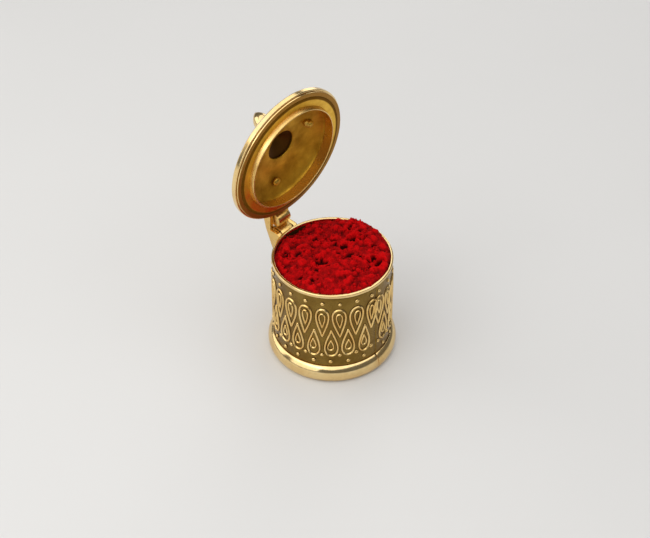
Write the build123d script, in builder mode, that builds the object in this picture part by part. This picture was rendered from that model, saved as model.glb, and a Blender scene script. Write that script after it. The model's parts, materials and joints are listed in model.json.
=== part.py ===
# Kumkum box: a small round brass box on a beaded foot, with a knobbed lid on a hinge at its back.
# Millimetres, +Z up. The origin is the centre of the base, on the surface that the box stands on.
# The hinge is on the +Y side and the seam of the wall on the -Y side. The lid is drawn standing open.
import os
from math import cos, radians, sin, tan

from build123d import *

os.makedirs("parts", exist_ok=True)

# Wall, rim and base
body_height = 28.0
wall_outer_radius = 14.75
wall_thickness = 0.5
rim_overhang = 0.25
rim_height = 0.9
rim_rounding = 0.3
base_plate_thickness = 0.8
seam_width = 0.25
seam_depth = 0.2

# Half-round bead round the foot
bead_projection = 1.45
bead_foot_projection = 0.65
bead_belly_height = 2.1
bead_height = 4.7
bead_end_gap = 0.5

# Lid, measured up from the plane of its seat
lid_overhang = 3.0
lid_edge_thickness = 2.7
lid_edge_width = 1.6
lid_edge_lift = 0.15
edge_top_width = 0.4
edge_wall_height = 1.85
edge_rounding = 0.25
lower_band_inset = 0.45
lower_band_rounding = 0.2
edge_groove_height = 0.6
edge_groove_depth = 0.65
edge_groove_width = 0.1
seat_thickness = 1.8
seat_rounding = 0.3
plug_clearance = 0.3
plug_thickness = 0.55
plug_depth = 1.15
plug_taper = 0.3
plug_rounding = 0.08
dome_thickness = 0.5
dome_rise = 2.3
dome_fullness = 0.75
crown_margin = 1.0
knob_hole_radius = 4.0

# Solder drops under the dome
tack_radius = 0.75
tack_inset = 3.7
tack_sink = 0.35
tack_count = 3
tack_start_angle = 98

# Knob, measured up from the crown of the dome along its own leaning axis
knob_offset = 0.9
knob_lean = 15
knob_lean_heading = -40
knob_foot_width = 1.2
knob_foot_height = 0.5
knob_flare_radius = 2.5
knob_flare_height = 1.7
knob_neck_radius = 1.2
knob_neck_height = 3.25
knob_collar_projection = 0.6
knob_collar_height = 0.8
knob_head_radius = 2.2
knob_head_height = 6.9
knob_belly_height = 2.4
knob_hollow_height = 2.4
knob_hollow_radius = 1.0
knob_tip_radius = 0.4

# Hinge
hinge_setback = 1.6
hinge_rise = 3.95
eye_wall = 0.8
pin_radius = 0.6
pin_head_projection = 0.35
pin_head_height = 0.4
lug_width = 4.0
lug_root_depth = 1.0
lug_heel_reach = 1.6
lug_heel_drop = 1.85
lug_heel_radius = 1.7
lug_arm_top_angle = 135
lug_arm_bottom_angle = -80
ear_thickness = 1.1
bracket_pad_thickness = 0.8
bracket_drop = 7.2
bracket_toe_reach = 3.0
bracket_toe_rise = 1.4
bracket_deck_drop = 0.5
ear_elbow_reach = 0.35
ear_rounding = 0.25
tongue_gap = 0.35
tongue_thickness = 3.0
tongue_crown = 0.4
tongue_overreach = 1.4
tongue_back_inset = 0.5

# Powder
powder_heap = 0.9
powder_edge_inset = 0.3
powder_press_gap = 0.15

# Clearances
solder_gap = 0.02
rim_gap = 0.1
lid_seat_gap = 0.1
lug_side_gap = 0.2
pin_fit = 0.02
pin_running_clearance = 0.05
powder_gap = 0.12

# How far the lid stands open
rest_opening = 84.5

# Values that follow from the sizes above
wall_inner_radius = wall_outer_radius - wall_thickness
rim_outer_radius = wall_outer_radius + rim_overhang
bead_radius = wall_outer_radius + bead_projection
bead_foot_radius = wall_outer_radius + bead_foot_projection
lid_edge_radius = rim_outer_radius + lid_overhang
seat_outer_radius = lid_edge_radius - lid_edge_width
plug_outer_radius = wall_inner_radius - plug_clearance
recess_radius = plug_outer_radius - plug_thickness
tack_circle_radius = recess_radius - tack_inset
knob_foot_radius = knob_hole_radius + knob_foot_width
knob_collar_radius = knob_neck_radius + knob_collar_projection
crown_radius = knob_foot_radius + crown_margin
eye_radius = pin_radius + eye_wall
pin_head_radius = pin_radius + pin_head_projection
bracket_bottom = body_height - bracket_drop
wall_top = body_height - rim_height
wall_height = wall_top - base_plate_thickness
lid_closed_height = body_height + lid_seat_gap
hinge_y = lid_edge_radius + hinge_setback
hinge_z = body_height + hinge_rise
crown_top = seat_thickness + dome_rise + dome_thickness

# The lid's own frame: its underside plane, turned open about the hinge axis
lid_tilt = radians(rest_opening)
hinge_frame = Plane(
    origin=(0, hinge_y, hinge_z),
    x_dir=(1, 0, 0),
    z_dir=(0, sin(lid_tilt), cos(lid_tilt)),
)
lid_origin = hinge_frame.from_local_coords(Vector(0, -hinge_y, lid_closed_height - hinge_z))
lid_frame = Plane(origin=lid_origin, x_dir=hinge_frame.x_dir, z_dir=hinge_frame.z_dir)
lid_axis = Axis(lid_origin, lid_frame.z_dir)
lid_section = Plane(origin=lid_origin, x_dir=lid_frame.x_dir, z_dir=-lid_frame.y_dir)
lid_side = Plane(origin=lid_origin, x_dir=lid_frame.y_dir, z_dir=lid_frame.x_dir)


def finish(piece, label):
    """Name a finished piece and write it to its own file."""
    piece.part.label = label
    export_step(piece.part, f"parts/{label}.step")


# Base plate: the flat disc that the wall stands on
with BuildPart() as base_plate:
    with BuildSketch():
        Circle(wall_outer_radius)
    extrude(amount=base_plate_thickness)
finish(base_plate, "base_plate")

# Body wall: a strip rolled into a tube, with a shallow groove along its soldered seam
with BuildPart() as body_wall:
    with BuildSketch(Plane.XY.offset(base_plate_thickness)):
        Circle(wall_outer_radius)
        Circle(wall_inner_radius, mode=Mode.SUBTRACT)
        with Locations((0, -wall_outer_radius)):
            Rectangle(seam_width, 2 * seam_depth, mode=Mode.SUBTRACT)
    extrude(amount=wall_height)
finish(body_wall, "body_wall")

# Rim ring: sits on the wall, stands a little proud of it and is rounded on top
with BuildPart() as rim_ring:
    with BuildSketch(Plane.XY.offset(wall_top)):
        Circle(rim_outer_radius)
        Circle(wall_inner_radius, mode=Mode.SUBTRACT)
    extrude(amount=rim_height)
    fillet(rim_ring.edges().group_by(Axis.Z)[-1], radius=rim_rounding)
finish(rim_ring, "rim_ring")

# Base bead: half-round wire bent round the foot, its two ends meeting at the seam
bead_inner_radius = wall_outer_radius + solder_gap
bead_start = radians(-90 + bead_end_gap / 2)
bead_section = Plane(
    origin=(0, 0, 0),
    x_dir=(cos(bead_start), sin(bead_start), 0),
    z_dir=(sin(bead_start), -cos(bead_start), 0),
)
with BuildPart() as base_bead:
    with BuildSketch(bead_section):
        with BuildLine():
            Polyline(
                (bead_inner_radius, bead_height),
                (bead_inner_radius, 0),
                (bead_foot_radius, 0),
            )
            ThreePointArc(
                (bead_foot_radius, 0),
                (bead_radius, bead_belly_height),
                (bead_inner_radius, bead_height),
            )
        make_face()
    revolve(axis=Axis.Z, revolution_arc=360 - bead_end_gap)
finish(base_bead, "base_bead")

# Hinge bracket: a pad on the back of the wall, a rounded tongue and two ears that carry the pin
ear_inner = lug_width / 2 + lug_side_gap
ear_outer = ear_inner + ear_thickness
deck_height = body_height - bracket_deck_drop
pad_top = wall_top - rim_gap
pad_outer_radius = wall_outer_radius + bracket_pad_thickness
toe_y = wall_outer_radius + bracket_toe_reach
toe_z = bracket_bottom + bracket_toe_rise
ear_front = hinge_y - eye_radius
deck_start = rim_outer_radius + bracket_pad_thickness
tongue_half_width = ear_inner - tongue_gap
tongue_end = lid_edge_radius + tongue_overreach
with BuildPart() as hinge_bracket:
    with BuildSketch(Plane.XY.offset(bracket_bottom)):
        Circle(pad_outer_radius)
        with Locations((0, wall_outer_radius)):
            Rectangle(2 * ear_outer, 2 * wall_outer_radius, mode=Mode.INTERSECT)
    extrude(amount=pad_top - bracket_bottom)
    with BuildSketch(Plane.YZ.offset(ear_inner)):
        with BuildLine():
            Polyline(
                (0, pad_top),
                (rim_outer_radius + rim_gap, pad_top),
                (deck_start, deck_height),
                (ear_front, deck_height),
                (ear_front, hinge_z),
                (hinge_y + eye_radius, hinge_z),
                (hinge_y + ear_elbow_reach, deck_height),
                (toe_y, toe_z),
                (wall_outer_radius, bracket_bottom),
                (0, bracket_bottom),
                close=True,
            )
        make_face()
        with Locations((hinge_y, hinge_z)):
            Circle(eye_radius)
            Circle(pin_radius + pin_fit, mode=Mode.SUBTRACT)
    extrude(amount=ear_thickness)
    mirror(about=Plane.YZ)
    with BuildSketch(Plane.YZ):
        with BuildLine():
            ThreePointArc(
                (rim_outer_radius + rim_gap, pad_top),
                ((rim_outer_radius + tongue_end) / 2, deck_height + tongue_crown),
                (tongue_end, pad_top),
            )
            Polyline(
                (tongue_end, pad_top),
                (tongue_end - tongue_back_inset, pad_top - tongue_thickness / 2),
                (wall_outer_radius, pad_top - tongue_thickness),
                (0, pad_top - tongue_thickness),
                (0, pad_top),
                (rim_outer_radius + rim_gap, pad_top),
            )
        make_face()
    extrude(amount=tongue_half_width, both=True)
    Cylinder(wall_outer_radius + solder_gap, 2 * body_height, mode=Mode.SUBTRACT)
    side_faces = hinge_bracket.faces().group_by(Axis.X)
    side_edges = side_faces[0].edges() + side_faces[-1].edges()
    fillet(side_edges.filter_by(lambda edge: edge.center().Y > toe_y), radius=ear_rounding)
finish(hinge_bracket, "hinge_bracket")

# Hinge pin: a plain pin with a domed head peened over each ear
pin_section = Plane(origin=(0, hinge_y, hinge_z), x_dir=(1, 0, 0), z_dir=(0, -1, 0))
pin_head_dome = (pin_head_radius**2 + pin_head_height**2) / (2 * pin_head_height)
with BuildPart() as hinge_pin:
    with BuildSketch(pin_section):
        with BuildLine():
            RadiusArc((-ear_outer - pin_head_height, 0), (-ear_outer, pin_head_radius), pin_head_dome)
            Polyline(
                (-ear_outer, pin_head_radius),
                (-ear_outer, pin_radius),
                (ear_outer, pin_radius),
                (ear_outer, pin_head_radius),
            )
            RadiusArc((ear_outer, pin_head_radius), (ear_outer + pin_head_height, 0), pin_head_dome)
            Line((ear_outer + pin_head_height, 0), (-ear_outer - pin_head_height, 0))
        make_face()
    revolve(axis=Axis(pin_section.origin, pin_section.x_dir))
finish(hinge_pin, "hinge_pin")

# Powder: fills the box, is heaped a little above the rim and stays below the closed lid's plug at its edge
powder_radius = wall_inner_radius - powder_gap
powder_bottom = base_plate_thickness + powder_gap
powder_edge = lid_closed_height - plug_depth - powder_press_gap
powder_heap_radius = recess_radius - powder_edge_inset
powder_rise = body_height + powder_heap - powder_edge
powder_dome = (powder_heap_radius**2 + powder_rise**2) / (2 * powder_rise)
with BuildPart() as kumkum_powder:
    with BuildSketch(Plane.XZ):
        with BuildLine():
            Polyline(
                (0, powder_edge + powder_rise),
                (0, powder_bottom),
                (powder_radius, powder_bottom),
                (powder_radius, powder_edge),
                (powder_heap_radius, powder_edge),
            )
            RadiusArc((0, powder_edge + powder_rise), (powder_heap_radius, powder_edge), powder_dome)
        make_face()
    revolve(axis=Axis.Z)
finish(kumkum_powder, "kumkum_powder")

# Lid plug ring: a short tube that enters the mouth of the box, tapered towards its free edge
with BuildPart() as lid_plug_ring:
    with BuildSketch(lid_section) as plug_sketch:
        with BuildLine():
            Polyline(
                (recess_radius, -plug_depth),
                (plug_outer_radius - plug_taper, -plug_depth),
                (plug_outer_radius, 0),
                (plug_outer_radius, seat_thickness),
                (recess_radius, seat_thickness),
                close=True,
            )
        make_face()
        fillet(plug_sketch.vertices().group_by(Axis.Y)[0], radius=plug_rounding)
    revolve(axis=lid_axis)
finish(lid_plug_ring, "lid_plug_ring")

# Lid seat ring: the flat ring round the plug, which closes on the rim
seat_inner_radius = plug_outer_radius + solder_gap
with BuildPart() as lid_seat_ring:
    with BuildSketch(lid_section) as seat_sketch:
        with BuildLine():
            Polyline(
                (seat_inner_radius, 0),
                (seat_outer_radius, 0),
                (seat_outer_radius, seat_thickness),
                (seat_inner_radius, seat_thickness),
                close=True,
            )
        make_face()
        fillet(seat_sketch.vertices().group_by(Axis.Y)[0].sort_by(Axis.X)[-1], radius=seat_rounding)
    revolve(axis=lid_axis)
finish(lid_seat_ring, "lid_seat_ring")

# Lid edge ring: the moulded edge, a narrow band below, a groove and a wide band with a bevel above
edge_inner_radius = seat_outer_radius + solder_gap
lower_band_radius = lid_edge_radius - lower_band_inset
groove_bottom = lid_edge_radius - edge_groove_depth
groove_top = edge_groove_height + edge_groove_width
with BuildPart() as lid_edge_ring:
    with BuildSketch(lid_section) as edge_sketch:
        with BuildLine():
            Polyline(
                (edge_inner_radius, lid_edge_lift),
                (lower_band_radius, lid_edge_lift),
                (lower_band_radius, edge_groove_height),
                (groove_bottom, edge_groove_height),
                (groove_bottom, groove_top),
                (lid_edge_radius, groove_top),
                (lid_edge_radius, edge_wall_height),
                (edge_inner_radius + edge_top_width, lid_edge_thickness),
                (edge_inner_radius, lid_edge_thickness),
                close=True,
            )
        make_face()
        fillet(edge_sketch.vertices().group_by(Axis.X)[-1], radius=edge_rounding)
        fillet(edge_sketch.vertices().group_by(Axis.Y)[0].sort_by(Axis.X)[-1], radius=lower_band_rounding)
    revolve(axis=lid_axis)
finish(lid_edge_ring, "lid_edge_ring")

# Lid dome: a sheet that lies on the plug and the seat ring and rises to a flat crown with the knob's hole
heading = radians(knob_lean_heading)
knob_x = knob_offset * cos(heading)
knob_y = knob_offset * sin(heading)
dome_mid_radius = (recess_radius + crown_radius) / 2
dome_mid_height = seat_thickness + dome_fullness * dome_rise
with BuildPart() as lid_dome:
    with BuildSketch(lid_section):
        with BuildLine():
            Line((seat_outer_radius, seat_thickness), (recess_radius, seat_thickness))
            ThreePointArc(
                (recess_radius, seat_thickness),
                (dome_mid_radius, dome_mid_height),
                (crown_radius, seat_thickness + dome_rise),
            )
            Polyline(
                (crown_radius, seat_thickness + dome_rise),
                (0, seat_thickness + dome_rise),
                (0, crown_top),
                (crown_radius, crown_top),
            )
            ThreePointArc(
                (crown_radius, crown_top),
                (dome_mid_radius, dome_mid_height + dome_thickness),
                (recess_radius, seat_thickness + dome_thickness),
            )
            Polyline(
                (recess_radius, seat_thickness + dome_thickness),
                (seat_outer_radius, seat_thickness + dome_thickness),
                (seat_outer_radius, seat_thickness),
            )
        make_face()
    revolve(axis=lid_axis)
    with Locations(lid_frame):
        with Locations((knob_x, knob_y, crown_top)):
            Cylinder(knob_hole_radius, 3 * dome_thickness, mode=Mode.SUBTRACT)
finish(lid_dome, "lid_dome")

# Solder tacks: drops on the underside of the dome, round the hole
tack_slope = (tack_circle_radius - crown_radius) / (recess_radius - crown_radius)
tack_height = seat_thickness + dome_rise * (1 - tack_slope**2) - tack_sink
with BuildPart() as solder_tacks:
    with Locations(lid_frame):
        with Locations((0, 0, tack_height)):
            with PolarLocations(tack_circle_radius, tack_count, start_angle=tack_start_angle):
                Sphere(tack_radius)
    add(lid_dome.part, mode=Mode.SUBTRACT)
finish(solder_tacks, "solder_tacks")

# Knob: a turned finial, soldered a little off centre and leaning, its hollow foot filed flat on the crown
lean = radians(knob_lean)
lean_direction = lid_frame.x_dir * cos(heading) + lid_frame.y_dir * sin(heading)
lean_side = lid_frame.z_dir.cross(lean_direction)
knob_direction = lid_frame.z_dir * cos(lean) + lean_direction * sin(lean)
knob_origin = lid_origin + lid_frame.z_dir * crown_top + lean_direction * knob_offset
knob_axis = Axis(knob_origin, knob_direction)
knob_section = Plane(origin=knob_origin, x_dir=lean_side, z_dir=lean_side.cross(knob_direction))
foot_skirt = -2 * knob_foot_radius * tan(lean)
collar_top = knob_neck_height + knob_collar_height
knob_top = collar_top + knob_head_height
with BuildPart() as knob:
    with BuildSketch(knob_section):
        with BuildLine():
            Polyline(
                (knob_hole_radius, foot_skirt),
                (knob_foot_radius, foot_skirt),
                (knob_foot_radius, knob_foot_height),
            )
            ThreePointArc(
                (knob_foot_radius, knob_foot_height),
                (knob_flare_radius, knob_flare_height),
                (knob_neck_radius, knob_neck_height),
            )
            ThreePointArc(
                (knob_neck_radius, knob_neck_height),
                (knob_collar_radius, knob_neck_height + knob_collar_height / 2),
                (knob_neck_radius, collar_top),
            )
            ThreePointArc(
                (knob_neck_radius, collar_top),
                (knob_head_radius, collar_top + knob_belly_height),
                (knob_tip_radius, knob_top),
            )
            Polyline(
                (knob_tip_radius, knob_top),
                (0, knob_top),
                (0, knob_hollow_height),
                (knob_hollow_radius, knob_hollow_height),
                (knob_hole_radius, 0),
                (knob_hole_radius, foot_skirt),
            )
        make_face()
    revolve(axis=knob_axis)
    split(bisect_by=lid_frame.offset(crown_top), keep=Keep.TOP)
finish(knob, "knob")

# Lid hinge lug: a knuckle on the pin with a round heel and an arm soldered to the edge ring
lug_axis_height = hinge_z - lid_closed_height
lug_root = lid_edge_radius - lug_root_depth
arm_top = radians(lug_arm_top_angle)
arm_bottom = radians(lug_arm_bottom_angle)
with BuildPart() as lid_hinge_lug:
    with BuildSketch(lid_side):
        with BuildLine():
            Polyline(
                (lug_root, edge_groove_height),
                (lug_root, lid_edge_thickness),
                (hinge_y + eye_radius * cos(arm_top), lug_axis_height + eye_radius * sin(arm_top)),
                (hinge_y, lug_axis_height),
                (hinge_y + eye_radius * cos(arm_bottom), lug_axis_height + eye_radius * sin(arm_bottom)),
                close=True,
            )
        make_face()
        with Locations((hinge_y + lug_heel_reach, lug_axis_height - lug_heel_drop)):
            Circle(lug_heel_radius)
        with Locations((hinge_y, lug_axis_height)):
            Circle(eye_radius)
            Circle(pin_radius + pin_running_clearance, mode=Mode.SUBTRACT)
    extrude(amount=lug_width / 2, both=True)
    add(lid_edge_ring.part, mode=Mode.SUBTRACT)
finish(lid_hinge_lug, "lid_hinge_lug")
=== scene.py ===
"""The looks of a small gilt brass kumkum box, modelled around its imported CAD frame.

Sizes are in millimetres until a piece is placed, and the scene itself is in metres.
"""

from __future__ import annotations

import json
import logging
import math
from dataclasses import dataclass, field
from enum import Enum
from typing import Any, Callable, Sequence, Union

import bmesh
import bpy
import numpy as np
from mathutils import Matrix, Vector

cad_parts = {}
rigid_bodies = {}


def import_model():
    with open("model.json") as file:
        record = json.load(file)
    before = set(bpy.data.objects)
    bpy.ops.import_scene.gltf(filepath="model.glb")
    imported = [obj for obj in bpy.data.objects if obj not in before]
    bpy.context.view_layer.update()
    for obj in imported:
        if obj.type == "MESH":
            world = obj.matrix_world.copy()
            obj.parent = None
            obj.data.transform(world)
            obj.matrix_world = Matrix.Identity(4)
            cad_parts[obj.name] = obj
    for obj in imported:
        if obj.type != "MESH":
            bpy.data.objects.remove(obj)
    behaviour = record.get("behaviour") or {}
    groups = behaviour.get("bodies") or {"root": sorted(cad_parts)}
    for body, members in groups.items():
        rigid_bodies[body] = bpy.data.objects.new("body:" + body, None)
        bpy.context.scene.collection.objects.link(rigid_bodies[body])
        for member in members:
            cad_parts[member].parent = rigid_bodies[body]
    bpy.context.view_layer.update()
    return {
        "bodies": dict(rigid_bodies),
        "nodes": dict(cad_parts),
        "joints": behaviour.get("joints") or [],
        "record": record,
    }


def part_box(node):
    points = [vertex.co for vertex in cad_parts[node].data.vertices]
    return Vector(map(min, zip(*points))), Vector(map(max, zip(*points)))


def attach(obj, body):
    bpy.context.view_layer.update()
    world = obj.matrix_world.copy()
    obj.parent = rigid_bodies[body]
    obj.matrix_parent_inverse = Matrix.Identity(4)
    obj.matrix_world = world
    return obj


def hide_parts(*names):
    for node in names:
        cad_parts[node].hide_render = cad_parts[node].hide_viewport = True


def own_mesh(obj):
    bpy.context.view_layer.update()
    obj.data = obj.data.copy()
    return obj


LOG = logging.getLogger("kumkum_box")
MM = 0.001
ARC_STEPS = 6
HOLD_SHARE = 0.35
LUMP_WAVES = 5
LUMP_WAVINESS = 2.2
LUMP_SQUEEZE = (0.75, 1.15)
CREST = "crest"
DARK = "dark"

Colour = tuple[float, float, float, float]
Corner = tuple[float, float, float]
Pit = tuple[float, float, float, float]
Operand = Union["Wire", float]
Wobble = Callable[[np.ndarray, np.ndarray, np.ndarray], np.ndarray]
Place = Sequence[float]
Span = tuple[float, float]
Chance = np.random.Generator


class Body(Enum):
    """The two bodies that the hinge joins."""

    BOX = "box"
    LID = "lid"


class Slot(Enum):
    """The record's material slots."""

    GILT = "gilt_brass"
    KUMKUM = "kumkum"


class Wire:
    """An output socket of a finish, whose arithmetic adds Math nodes."""

    def __init__(self, bench: "Bench", socket: bpy.types.NodeSocket) -> None:
        """Keep the socket and the bench that its nodes are on."""
        self.bench = bench
        self.socket = socket

    def _math(self, operation: str, first: Operand, second: Operand) -> "Wire":
        """Add one Math node for two values."""
        return self.bench.node("ShaderNodeMath", {"operation": operation}, {0: first, 1: second})

    def __add__(self, other: Operand) -> "Wire":
        """Add a value."""
        return self._math("ADD", self, other)

    def __radd__(self, other: Operand) -> "Wire":
        """Add to a value."""
        return self._math("ADD", other, self)

    def __sub__(self, other: Operand) -> "Wire":
        """Take a value away."""
        return self._math("SUBTRACT", self, other)

    def __rsub__(self, other: Operand) -> "Wire":
        """Take away from a value."""
        return self._math("SUBTRACT", other, self)

    def __mul__(self, other: Operand) -> "Wire":
        """Multiply by a value."""
        return self._math("MULTIPLY", self, other)

    def __rmul__(self, other: Operand) -> "Wire":
        """Multiply a value."""
        return self._math("MULTIPLY", other, self)


class Bench:
    """One material's node tree and the means to add to it."""

    def __init__(self, name: str) -> None:
        """Start a material with a single Principled shader.

        Args:
            name: the material's name.
        """
        self.material = bpy.data.materials.new(name)
        self.material.use_nodes = True
        self.tree = self.material.node_tree
        self.shader = self.tree.nodes["Principled BSDF"]

    def node(self, kind: str, settings: dict[str, Any], inputs: dict[Any, Any], output: Any = 0) -> Wire:
        """Add any node.

        Args:
            kind: the node's type.
            settings: its own settings, such as a Math node's operation.
            inputs: values or wires for its sockets, by name or place.
            output: the socket to carry on from.

        Returns:
            The chosen output.
        """
        made = self.tree.nodes.new(kind)
        for key, value in settings.items():
            setattr(made, key, value)
        for key, value in inputs.items():
            self.plug(made.inputs[key], value)
        return Wire(self, made.outputs[output])

    def plug(self, socket: bpy.types.NodeSocket, value: Any) -> None:
        """Link a wire to a socket, or set the socket's own value.

        Args:
            socket: the socket to feed.
            value: the wire or the value.
        """
        if isinstance(value, Wire):
            self.tree.links.new(value.socket, socket)
        else:
            socket.default_value = value

    def shade(self, **values: Any) -> None:
        """Set the shader's sockets, named with underscores for spaces."""
        for key, value in values.items():
            self.plug(self.shader.inputs[key.replace("_", " ")], value)

    def mottling(self, size: float, detail: float = 3.0, roughness: float = 0.5) -> Wire:
        """Noise over the object.

        Args:
            size: how large a patch is, in millimetres.
            detail: how many finer layers it has.
            roughness: how strong those layers are.

        Returns:
            Values about one half.
        """
        place = self.node("ShaderNodeTexCoord", {}, {}, "Object")
        inputs = {"Vector": place, "Scale": 1 / (size * MM), "Detail": detail, "Roughness": roughness}
        return self.node("ShaderNodeTexNoise", {}, inputs, "Fac")

    def ramp(self, factor: Wire, low: float, high: float) -> Wire:
        """Stretch a value so that low becomes 0 and high becomes 1."""
        inputs = {"Value": factor, "From Min": low, "From Max": high}
        return self.node("ShaderNodeMapRange", {"clamp": True}, inputs)

    def blend(self, factor: Operand, low: Any, high: Any) -> Wire:
        """Mix two colours by a factor."""
        return self.node("ShaderNodeMix", {"data_type": "RGBA"}, {0: factor, 6: low, 7: high}, 2)

    def mark(self, name: str) -> Wire:
        """Read a value that was stored on the mesh."""
        return self.node("ShaderNodeAttribute", {"attribute_name": name}, {}, "Fac")

    def bump(self, height: Wire, depth: float) -> Wire:
        """Turn a height into a normal.

        Args:
            height: how high the surface stands, as a share of depth.
            depth: what 1 stands for, in millimetres.

        Returns:
            The bumped normal.
        """
        inputs = {"Height": height, "Distance": depth * MM, "Strength": 1.0}
        return self.node("ShaderNodeBump", {}, inputs, "Normal")


@dataclass(frozen=True)
class GiltFinish:
    """Gilt brass, from mirror bright to satin, with painted shade where a piece's dark mark is high."""

    name: str
    roughness: float
    tint: Colour = (0.87, 0.60, 0.23, 1)
    worn_tint: Colour = (0.70, 0.43, 0.12, 1)
    soot_and_shade: Colour = (0.08, 0.032, 0.005, 1)
    ripple_depth: float = 0.010
    ripple_size: float = 1.6
    grain_depth: float = 0.006
    grain_size: float = 0.12
    smudge_size: float = 5.0
    smudge_range: Span = (0.35, 0.7)
    clean_roughness_share: float = 0.75
    smudge_roughness_share: float = 0.5
    fleck_size: float = 0.5
    fleck_range: Span = (0.55, 0.8)
    fleck_strength: float = 0.35
    fleck_roughness: float = 0.12
    shade_range: Span = (0.42, 0.95)
    shade_roughness: float = 0.35

    def material(self) -> bpy.types.Material:
        """Make the material.

        Returns:
            Gilt with smudged tone, painted shade from the dark mark, uneven polish, a rippled surface and
            fine grain.
        """
        bench = Bench(self.name)
        smudge = bench.mottling(self.smudge_size, detail=4.0, roughness=0.6)
        smudge = bench.ramp(smudge, *self.smudge_range)
        fleck = bench.mottling(self.fleck_size, detail=5.0, roughness=0.7)
        fleck = bench.ramp(fleck, *self.fleck_range)
        tone = bench.blend(smudge, self.tint, self.worn_tint)
        tone = bench.blend(fleck * self.fleck_strength, tone, self.soot_and_shade)
        # Painted shade: the dark mark pulls the tone towards the soot-and-shade colour and roughens it; the
        # flecks above are real dark flecks.
        dark = bench.ramp(bench.mark(DARK), *self.shade_range)
        tone = bench.blend(dark, tone, self.soot_and_shade)
        polish = self.clean_roughness_share + self.smudge_roughness_share * smudge
        polish = self.roughness * polish
        polish = polish + self.fleck_roughness * fleck + self.shade_roughness * dark
        ripple = bench.mottling(self.ripple_size, detail=1.0) * self.ripple_depth
        grain = bench.mottling(self.grain_size, detail=2.0) * self.grain_depth
        bench.shade(
            Base_Color=tone,
            Metallic=1.0,
            Roughness=polish,
            Normal=bench.bump(ripple + grain, 1.0),
        )
        return bench.material


@dataclass(frozen=True)
class PowderFinish:
    """Dry red powder, with painted light on its crumbs and painted shade in its pits."""

    name: str
    bright: Colour = (0.55, 0.001, 0.002, 1)
    deep: Colour = (0.045, 0.0, 0.0, 1)
    crumb_size: float = 0.9
    grain_size: float = 0.16
    grain_depth: float = 0.12
    crest_share: float = 0.8
    crumb_share: float = 0.2
    grain_share: float = 0.3
    deep_level: float = 0.30
    bright_level: float = 0.95
    matt: float = 0.85
    grain_matt: float = 0.15
    sheen: float = 0.1

    def material(self) -> bpy.types.Material:
        """Make the material.

        Returns:
            A matte red with clumped tone, painted light and shade, and a grainy surface.
        """
        bench = Bench(self.name)
        clump = bench.mottling(self.crumb_size, detail=3.0, roughness=0.6)
        grain = bench.mottling(self.grain_size, detail=3.0, roughness=0.7)
        # Painted light and shade: the crest mark lightens the crumbs and darkens the pits; the clump and
        # grain noise are random tone.
        light = bench.mark(CREST) * self.crest_share + clump * self.crumb_share + grain * self.grain_share
        light = bench.ramp(light, self.deep_level, self.bright_level)
        bench.shade(
            Base_Color=bench.blend(light, self.deep, self.bright),
            Roughness=self.matt + self.grain_matt * grain,
            Specular_IOR_Level=self.sheen,
            Normal=bench.bump(grain, self.grain_depth),
        )
        return bench.material


class Finishes:
    """The finishes that the pieces share."""

    def __init__(self) -> None:
        """Make one material for each finish."""
        pale, straw, amber_shade = (0.90, 0.68, 0.33, 1), (0.77, 0.52, 0.21, 1), (0.24, 0.11, 0.008, 1)
        turned: dict[str, Any] = {
            "tint": pale,
            "worn_tint": straw,
            "ripple_size": 2.5,
            "grain_depth": 0.002,
        }
        rough: dict[str, Any] = {"ripple_depth": 0.030, "ripple_size": 0.9}
        self.bright = GiltFinish("gilt_bright", 0.17, **turned).material()
        # The moulded edge's soot-and-shade colour is brown; it colours its flecks and the painted shade in
        # its corner and groove.
        self.moulding = GiltFinish("gilt_moulding", 0.17, soot_and_shade=(0.40, 0.20, 0.03, 1), **turned).material()
        self.lip = GiltFinish("gilt_lip", 0.26).material()
        self.cast = GiltFinish("gilt_cast", 0.24, **rough).material()
        amber, brown = (0.72, 0.45, 0.09, 1), (0.44, 0.24, 0.03, 1)
        self.solder = GiltFinish("gilt_solder", 0.30, amber, brown, **rough).material()
        # The wall's field is tinted darker than the other gilt: painted shade standing for the wall's dark
        # reflections.
        olive, umber, black = (0.27, 0.168, 0.038, 1), (0.18, 0.1, 0.018, 1), (0.03, 0.012, 0.003, 1)
        self.field = GiltFinish("gilt_field", 0.30, olive, umber, black).material()
        # The seat and the lid's inside are tinted deeper amber than the outer gilt: painted reflection of
        # the gilt facing them inside the lid.
        honey, russet = (0.86, 0.52, 0.06, 1), (0.64, 0.34, 0.025, 1)
        self.seat = GiltFinish("gilt_seat", 0.46, honey, russet, amber_shade).material()
        ochre, sienna = (0.60, 0.33, 0.03, 1), (0.37, 0.18, 0.012, 1)
        self.inside = GiltFinish("gilt_inside", 0.56, ochre, sienna, amber_shade).material()
        yellow, gold = (0.95, 0.68, 0.28, 1), (0.80, 0.50, 0.15, 1)
        fine: dict[str, Any] = {"ripple_size": 1.0, "grain_depth": 0.004}
        self.relief = GiltFinish("gilt_relief", 0.20, yellow, gold, **fine).material()
        self.powder = PowderFinish("kumkum_powder_red").material()


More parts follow.
